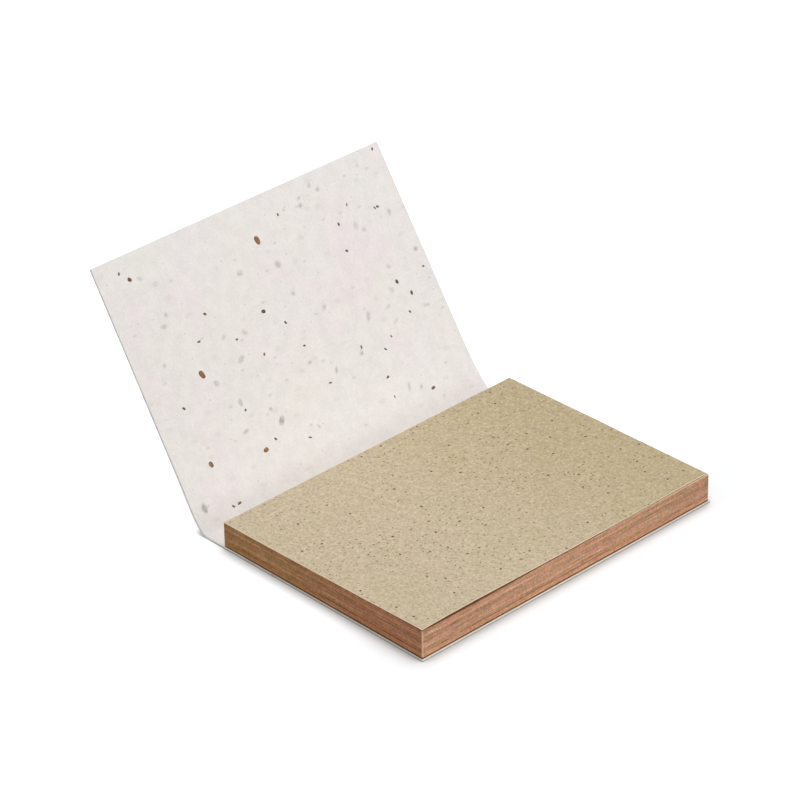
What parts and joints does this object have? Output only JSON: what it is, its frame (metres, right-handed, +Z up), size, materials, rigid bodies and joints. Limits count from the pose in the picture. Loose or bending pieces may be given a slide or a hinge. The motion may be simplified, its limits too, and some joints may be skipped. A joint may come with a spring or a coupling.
{
  "type": "memo pad",
  "caption": "Tear-off memo pad glued along one long edge, lying on a wrap-around seed-paper cover whose front panel stands open.",
  "frame": {"origin": "centre of the back cover's underside, on the surface that the pad lies on", "axes": "+X from the glued spine to the loose fore-edge, +Y along the spine, +Z up"},
  "size_m": [0.1753, 0.148, 0.0887],
  "materials": {
    "seed_paper": "matt, fibrous, off-white",
    "seed": "matt brown seed husk",
    "recycled_paper": "matt beige with fine specks, brown cut edges",
    "padding_glue": "dried satin film"
  },
  "bodies": {
    "pad": {"back_cover": "seed_paper", "back_glue": "padding_glue", "paper_block": "recycled_paper", "spine_glue": "padding_glue"},
    "spine_panel": {"cover_spine": "seed_paper"},
    "front_panel": {"front_cover": "seed_paper", "front_cover_seeds": "seed"}
  },
  "joints": [
    {"name": "spine_fold", "type": "hinge", "parent": "pad", "child": "spine_panel", "pos_m": [-0.0525, 0, 0.0006], "axis": [0, 1, 0], "range_deg": [0, 90]},
    {"name": "cover_fold", "type": "hinge", "parent": "spine_panel", "child": "front_panel", "pos_m": [-0.06515, 0, 0.0006], "axis": [0, 1, 0], "range_deg": [-56, 32]}
  ]
}
